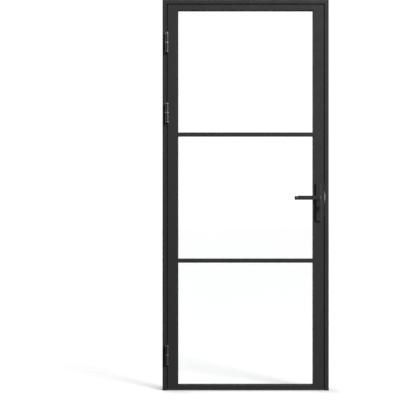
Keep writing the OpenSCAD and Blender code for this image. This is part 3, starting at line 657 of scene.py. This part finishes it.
body_low, body_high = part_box("cylinder_body")
plug_low, plug_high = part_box("cylinder_front_plug")
plug_x = (plug_low.x + plug_high.x) / 2
plug_z = (plug_low.z + plug_high.z) / 2
plug_r = (plug_high.x - plug_low.x) / 2
plug_play = 0.00005
profile_r = body_high.z - plug_z
profile_ends = ((plug_x, body_low.y, plug_z), (plug_x, body_high.y, plug_z))
leg_half = 0.005
leg_round = leg_half * 0.9
rim_edge = 0.0005
lengthwise = 3 * profile_r

cylinder = rod("profile_cylinder_body", *profile_ends, profile_r, sides=64)
leg = block("leg", (plug_x - leg_half, body_low.y, body_low.z), (plug_x + leg_half, body_high.y, plug_z))
round_edges(leg, leg_round, segments=6, wanted=lambda edge:
            lies_at(edge, "z", body_low.z) and edge.calc_length() > lengthwise)
work(cylinder, leg, "UNION")
round_edges(cylinder, rim_edge, segments=2, wanted=lambda edge:
            corner(edge) and edge.calc_length() < lengthwise)
hollow(cylinder, *profile_ends, plug_r + plug_play)
cam_low, cam_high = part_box("cylinder_cam")
cam_play = 0.0002
cam_slot_down = 0.016
cam_slot_up = 0.010
work(cylinder, block(
    "cam_slot",
    (plug_x - profile_r - cam_play, cam_low.y - cam_play, plug_z - cam_slot_down),
    (plug_x + profile_r + cam_play, cam_high.y + cam_play, plug_z + cam_slot_up)))
hand_over(cylinder, black_nickel, "leaf", "cylinder_body")

keyway_half = 0.0012
keyway_reach = 0.00425
keyway_depth = 0.022
keyway_step = keyway_reach / 3
for node, side, body in (("cylinder_front_plug", -1, "key_core"), ("cylinder_back_plug", 1, "back_core")):
    low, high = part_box(node)
    face_y = low.y if side < 0 else high.y
    plug = rod("keyed_" + node, (plug_x, low.y, plug_z), (plug_x, high.y, plug_z), plug_r)
    round_edges(plug, rim_edge / 2, segments=2, wanted=corner)
    near, far = sorted((face_y - side * keyway_depth, face_y + side * rim_edge))
    for bottom, top, left, right in (
            (-keyway_reach, -keyway_step, -keyway_half, keyway_half / 3),
            (-keyway_step - rim_edge, keyway_step, -keyway_half / 3, keyway_half),
            (keyway_step - rim_edge, keyway_reach, -keyway_half, keyway_half / 2)):
        work(plug, block("key", (plug_x + left, near, plug_z + bottom), (plug_x + right, far, plug_z + top)))
    hand_over(plug, black_nickel, body, node)
dress(steel, "cylinder_cam")

low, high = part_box("cylinder_screw")
fixing_head_r = (high.z - low.z) / 2
fixing_flare = 0.002
fixing_shank_r = fixing_head_r - fixing_flare
pattern = cross_screw(fixing_head_r, fixing_shank_r, fixing_flare, high.x - low.x)
hand_over(set_screws("cross_cylinder_screw", pattern, [(high.x, 0, (low.z + high.z) / 2)], (-1, 0, 0)),
          steel, "leaf", "cylinder_screw")

# ---- Handle plates ----
# A long solid plate in satin black on each face of the lock stile. Two countersunk bolts from the back
# plate clamp both plates through the stile, and a collar in each carries the lever's neck.

handle_coat = new_finish("handle_coat", {"Specular IOR Level": 0.8})
tint(handle_coat, grain(handle_coat, size=0.002, detail=3),
     low=(0.012, 0.012, 0.0122), high=(0.018, 0.018, 0.0183))
gloss(handle_coat, grain(handle_coat, size=0.015, detail=4), low=0.42, high=0.5)
relief(handle_coat, grain(handle_coat, size=0.0007, detail=2), depth=0.000015)

spindle_low, spindle_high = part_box("spindle")
lever_x = (spindle_low.x + spindle_high.x) / 2
lever_z = (spindle_low.z + spindle_high.z) / 2
neck_r = 0.009
neck_play = 0.00005
bush_wall = 0.003
bush_r = neck_r + bush_wall
play = 0.0003
plate_round = 0.003
bolt_low, bolt_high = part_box("plate_bolts")
bolt_head_r = (bolt_high.x - bolt_low.x) / 2
bolt_shank_r = 0.0025
bolt_flare = bolt_head_r - bolt_shank_r
bolt_places = [(lever_x, bolt_high.y, bolt_low.z + bolt_head_r),
               (lever_x, bolt_high.y, bolt_high.z - bolt_head_r)]
for node in ("front_plate", "back_plate"):
    low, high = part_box(node)
    face_y = low.y if node == "front_plate" else high.y
    plate = block("satin_" + node, low, high)
    round_edges(plate, plate_round, segments=5, wanted=lambda edge: lies_at(edge, "y", face_y))
    hollow(plate, (lever_x, low.y, lever_z), (lever_x, high.y, lever_z), bush_r)
    hollow(plate, (plug_x, low.y, plug_z), (plug_x, high.y, plug_z), profile_r + play)
    work(plate, block("slot", (plug_x - leg_half - play, low.y - play, body_low.z - play),
                      (plug_x + leg_half + play, high.y + play, plug_z)))
    if node == "back_plate":
        for place in bolt_places:
            countersink(plate, place, (0, -1, 0), bolt_head_r, bolt_shank_r, bolt_flare)
    hand_over(plate, handle_coat, "leaf", node)

pattern = socket_screw(bolt_head_r, bolt_shank_r, bolt_flare, bolt_high.y - bolt_low.y)
hand_over(set_screws("socket_plate_bolts", pattern, bolt_places, (0, -1, 0)), black_steel, "leaf",
          "plate_bolts")

flange_t = 0.001
for node in ("front_bush", "back_bush"):
    low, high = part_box(node)
    flange_r = (high.x - low.x) / 2
    collar = rod("collar_" + node, (lever_x, low.y, lever_z), (lever_x, high.y, lever_z), flange_r, sides=64)
    outer_y, inner_y, step_y = low.y, high.y, low.y + flange_t
    if node == "back_bush":
        outer_y, inner_y, step_y = high.y, low.y, high.y - flange_t
    pick(collar, "FACE", on_side)
    bpy.ops.mesh.bisect(plane_co=(0, step_y, 0), plane_no=(0, 1, 0))
    put_down()
    pick(collar, "EDGE", lambda edge: lies_at(edge, "y", inner_y))
    bpy.ops.transform.resize(value=(bush_r / flange_r, 1, bush_r / flange_r),
                             center_override=(lever_x, 0, lever_z))
    put_down()
    round_edges(collar, flange_t / 3, segments=2, wanted=lambda edge:
                corner(edge) and lies_at(edge, "y", outer_y))
    hollow(collar, (lever_x, low.y, lever_z), (lever_x, high.y, lever_z), neck_r + neck_play)
    hand_over(collar, nylon, "leaf", node)

# ---- Levers ----
# Flat bar levers in satin black on round necks, with a rounded bend where bar and neck meet. A square
# steel spindle joins them through the lock, and a grub screw under each neck holds it.

bend_r = 0.010
lever_edge = 0.0012
spindle_cover = 0.004
socket_start = 0.002
socket_play = 0.00005
socket_half = (spindle_high.x - spindle_low.x) / 2 + socket_play
grub_low, grub_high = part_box("grub_screws")
grub_r = 0.0025
grub_y = grub_low.y + grub_r
low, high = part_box("front_lever")
bar_back_y = -spindle_high.y - spindle_cover
lever = block("lever", (low.x, low.y, low.z), (high.x, bar_back_y, high.z))
round_edges(lever, bend_r, segments=14, wanted=lambda edge:
            lies_at(edge, "x", high.x) and lies_at(edge, "y", low.y))
round_edges(lever, lever_edge, segments=4, wanted=corner)
neck = rod("neck", (lever_x, bar_back_y - lever_edge, lever_z), (lever_x, high.y - play, lever_z),
           neck_r, sides=64)
work(lever, neck, "UNION")
work(lever, block("socket", (lever_x - socket_half, bar_back_y + socket_start, lever_z - socket_half),
                  (lever_x + socket_half, high.y + play, lever_z + socket_half)))
work(lever, rod("grub_hole", (lever_x, grub_y, lever_z - neck_r - play), (lever_x, grub_y, lever_z), grub_r))

across = Matrix.Scale(-1, 4, (0, 1, 0))
back_lever = twin(lever, "satin_back_lever", across)
lever.name = "satin_front_lever"
mend(back_lever)
hand_over(lever, handle_coat, "lever_set", "front_lever")
hand_over(back_lever, handle_coat, "lever_set", "back_lever")

grub_chamfer = 0.0003
key_r = grub_r * 0.5
key_depth = 0.0025
grub = rod("socket_grub_screws", (lever_x, grub_y, grub_low.z), (lever_x, grub_y, grub_high.z), grub_r,
           sides=32)
round_edges(grub, grub_chamfer, segments=1, wanted=corner)
work(grub, rod("key", (lever_x, grub_y, grub_low.z - play), (lever_x, grub_y, grub_low.z + key_depth), key_r,
               sides=6))
join([grub, twin(grub, "other_grub", across)])
mend(grub)
hand_over(grub, black_steel, "lever_set", "grub_screws")
dress(steel, "spindle")

# ---- Studio ----
# Plain pale floor that glows a little, and plain white surroundings. The glow is dimmed close under and
# around the door as painted contact shadow. A large soft lamp shines from the front right, a weaker one from
# behind, a small one from above and a strip from the right. The camera looks straight at the door from 1 m
# above the floor.

floor_half = 40
floor_drop = 0.0005
floor_grey = 0.55
floor_glow = 0.49
painted_shadow_reach = 0.12
bpy.ops.object.select_all(action="DESELECT")
bpy.ops.mesh.primitive_plane_add(size=2 * floor_half, location=(0, 0, -floor_drop))
floor = bpy.context.object
floor.name = "floor"
bpy.ops.object.transform_apply(location=True, rotation=True, scale=True)
pale_floor = new_finish("pale_floor", {
    "Base Color": (floor_grey, floor_grey, floor_grey, 1), "Roughness": 0.6, "Specular IOR Level": 0.0,
    "Emission Color": (1, 1, 1, 1)})
# Ambient occlusion dims the floor's glow near the door: painted contact shadow under and around it
painted_contact_shade = put_node(pale_floor, "ShaderNodeAmbientOcclusion", {"Distance": painted_shadow_reach})
glow = put_node(pale_floor, "ShaderNodeMapRange", {"To Min": 0.0, "To Max": floor_glow})
floor_links = pale_floor.node_tree.links
floor_links.new(painted_contact_shade.outputs["AO"], glow.inputs["Value"])
floor_links.new(glow.outputs["Result"], shader_of(pale_floor).inputs["Emission Strength"])
floor.data.materials.append(pale_floor)
floor.visible_glossy = False
floor.visible_diffuse = False

white_wall = 1.15
soft_fill = 0.25
dim_gloss = 0.08
world = bpy.data.worlds.new("studio")
bpy.context.scene.world = world
world.use_nodes = True
wall = world.node_tree.nodes["Background"]
wall.inputs["Color"].default_value = (1, 1, 1, 1)
rays = world.node_tree.nodes.new("ShaderNodeLightPath")
matt_choice = world.node_tree.nodes.new("ShaderNodeMix")
matt_choice.inputs["A"].default_value = white_wall
matt_choice.inputs["B"].default_value = soft_fill
gloss_choice = world.node_tree.nodes.new("ShaderNodeMix")
gloss_choice.inputs["B"].default_value = dim_gloss
wall_links = world.node_tree.links
wall_links.new(rays.outputs["Diffuse Depth"], matt_choice.inputs["Factor"])
wall_links.new(matt_choice.outputs["Result"], gloss_choice.inputs["A"])
wall_links.new(rays.outputs["Glossy Depth"], gloss_choice.inputs["Factor"])
wall_links.new(gloss_choice.outputs["Result"], wall.inputs["Strength"])


def hang_lamp(name, kind, energy, place, aim=(0, 0, 0)):
    """Lamp that shines from a place towards what it is aimed at"""
    light = bpy.data.lights.new(name, kind)
    light.energy = energy
    lamp = bpy.data.objects.new(name, light)
    lamp.location = place
    lamp.rotation_euler = (Vector(place) - Vector(aim)).to_track_quat("Z", "Y").to_euler()
    bpy.context.scene.collection.objects.link(lamp)
    return light


lamp_turn = radians(45)
lamp_rise = radians(33)
lamp_place = (sin(lamp_turn), -cos(lamp_turn), tan(lamp_rise))
soft_lamp = hang_lamp("soft_lamp", "SUN", energy=2.7, place=lamp_place)
soft_lamp.angle = radians(22)
back_lamp = hang_lamp("back_lamp", "SUN", energy=1.8, place=(-1, 1, 0.8))
back_lamp.angle = radians(60)
top_lamp = hang_lamp("top_lamp", "AREA", energy=12, place=(0.4, -2.3, 3.6), aim=(0, 0, 1.6))
top_lamp.shape = "SQUARE"
top_lamp.size = 1.6
strip_lamp = hang_lamp("strip_lamp", "AREA", energy=30, place=(3.0, -1.0, 1.2), aim=(0, 0, 1.2))
strip_lamp.shape = "RECTANGLE"
strip_lamp.size = 0.8
strip_lamp.size_y = 2.2

camera_data = bpy.data.cameras.new("camera")
camera_data.lens = 73.77
camera_data.sensor_width = 36
camera_data.clip_end = 200
camera = bpy.data.objects.new("camera", camera_data)
camera.location = (-0.251, -4.72, 1.0007)
camera.rotation_euler = (radians(90), 0, 0)
bpy.context.scene.collection.objects.link(camera)
bpy.context.scene.camera = camera
bpy.context.scene.view_settings.view_transform = "Standard"
